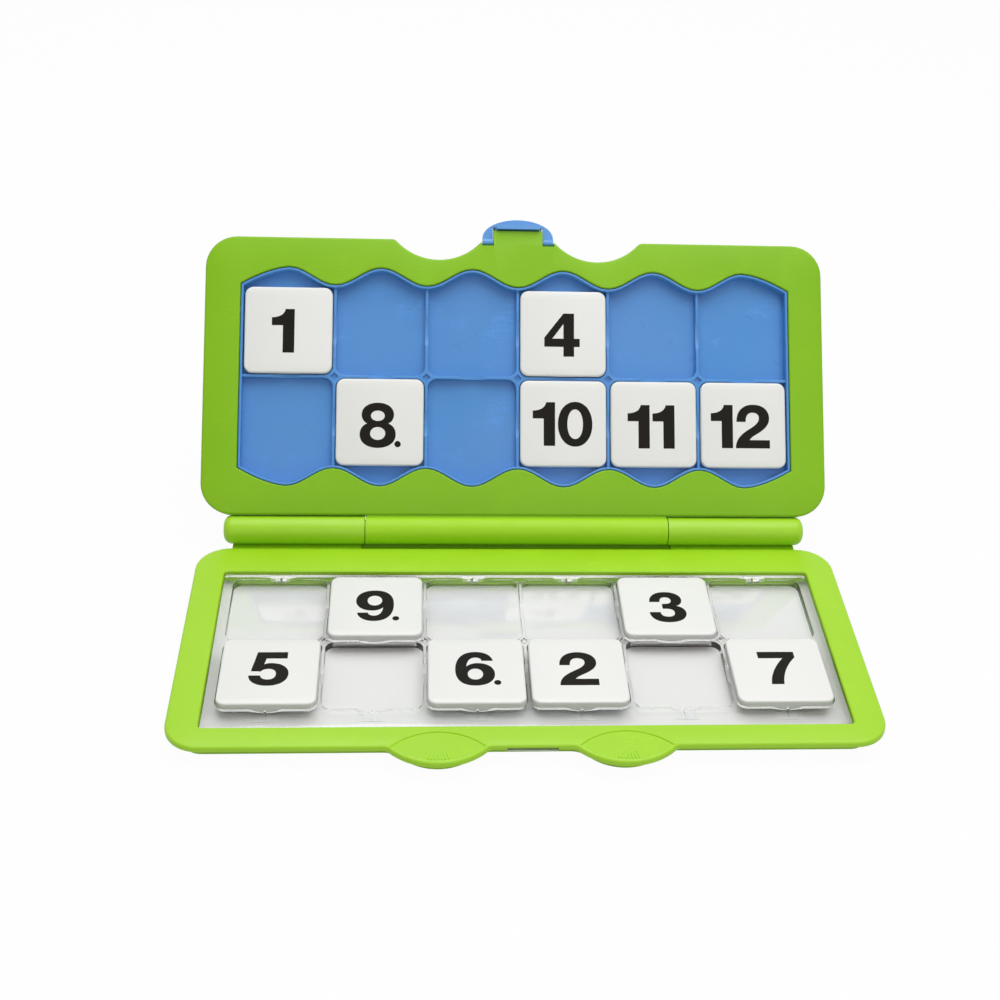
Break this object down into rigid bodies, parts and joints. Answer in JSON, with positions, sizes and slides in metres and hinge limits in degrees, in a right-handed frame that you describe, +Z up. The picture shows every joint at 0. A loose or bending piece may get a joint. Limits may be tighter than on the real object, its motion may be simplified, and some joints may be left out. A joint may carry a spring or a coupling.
{
  "type": "hinged tile puzzle case",
  "caption": "Flat hinged case lying open, with ribbed tile pockets in a clear base tray and a blue lid tray, a swivel latch and loose number tiles.",
  "frame": {"origin": "on the table, under the middle of the open case's bounding box", "axes": "+X along the hinge axis to the user's right, +Y away from the user toward the lid, +Z up"},
  "size_m": [0.26, 0.2142, 0.1171],
  "materials": {
    "base_green": "satin moulded plastic",
    "lid_green": "satin moulded plastic",
    "back_green": "satin moulded plastic",
    "tray_blue": "half-gloss moulded plastic",
    "latch_blue": "half-gloss moulded plastic",
    "clear_plastic": "clear moulded plastic",
    "tile_white": "satin white plastic with a printed number",
    "pin_steel": "plain steel wire"
  },
  "bodies": {
    "base": {"base_frame": "base_green", "base_tray": "clear_plastic", "hinge_pin_left": "pin_steel", "hinge_pin_right": "pin_steel"},
    "lid": {"lid_frame": "lid_green", "lid_back": "back_green", "lid_tray": "tray_blue"},
    "latch": {"latch": "latch_blue"},
    "tile_01": {"tile_01": "tile_white"},
    "tile_02": {"tile_02": "tile_white"},
    "tile_03": {"tile_03": "tile_white"},
    "tile_04": {"tile_04": "tile_white"},
    "tile_05": {"tile_05": "tile_white"},
    "tile_06": {"tile_06": "tile_white"},
    "tile_07": {"tile_07": "tile_white"},
    "tile_08": {"tile_08": "tile_white"},
    "tile_09": {"tile_09": "tile_white"},
    "tile_10": {"tile_10": "tile_white"},
    "tile_11": {"tile_11": "tile_white"},
    "tile_12": {"tile_12": "tile_white"}
  },
  "joints": [
    {"name": "lid_hinge", "type": "hinge", "parent": "base", "child": "lid", "pos_m": [0, 0.02379, 0.0133], "axis": [-1, 0, 0], "range_deg": [-128.8, 51.2]},
    {"name": "latch_hinge", "type": "hinge", "parent": "lid", "child": "latch", "pos_m": [0, 0.09812, 0.10957], "axis": [-1, 0, 0], "range_deg": [-90, 0]},
    {"name": "tile_01_lift", "type": "slide", "parent": "lid", "child": "tile_01", "axis": [0, -0.7793, 0.6266], "range_m": [0, 0.02]},
    {"name": "tile_04_lift", "type": "slide", "parent": "lid", "child": "tile_04", "axis": [0, -0.7793, 0.6266], "range_m": [0, 0.02]},
    {"name": "tile_08_lift", "type": "slide", "parent": "lid", "child": "tile_08", "axis": [0, -0.7793, 0.6266], "range_m": [0, 0.02]},
    {"name": "tile_10_lift", "type": "slide", "parent": "lid", "child": "tile_10", "axis": [0, -0.7793, 0.6266], "range_m": [0, 0.02]},
    {"name": "tile_11_lift", "type": "slide", "parent": "lid", "child": "tile_11", "axis": [0, -0.7793, 0.6266], "range_m": [0, 0.02]},
    {"name": "tile_12_lift", "type": "slide", "parent": "lid", "child": "tile_12", "axis": [0, -0.7793, 0.6266], "range_m": [0, 0.02]},
    {"name": "tile_02_lift", "type": "slide", "parent": "base", "child": "tile_02", "axis": [0, 0, 1], "range_m": [0, 0.02]},
    {"name": "tile_03_lift", "type": "slide", "parent": "base", "child": "tile_03", "axis": [0, 0, 1], "range_m": [0, 0.02]},
    {"name": "tile_05_lift", "type": "slide", "parent": "base", "child": "tile_05", "axis": [0, 0, 1], "range_m": [0, 0.02]},
    {"name": "tile_06_lift", "type": "slide", "parent": "base", "child": "tile_06", "axis": [0, 0, 1], "range_m": [0, 0.02]},
    {"name": "tile_07_lift", "type": "slide", "parent": "base", "child": "tile_07", "axis": [0, 0, 1], "range_m": [0, 0.02]},
    {"name": "tile_09_lift", "type": "slide", "parent": "base", "child": "tile_09", "axis": [0, 0, 1], "range_m": [0, 0.02]}
  ]
}
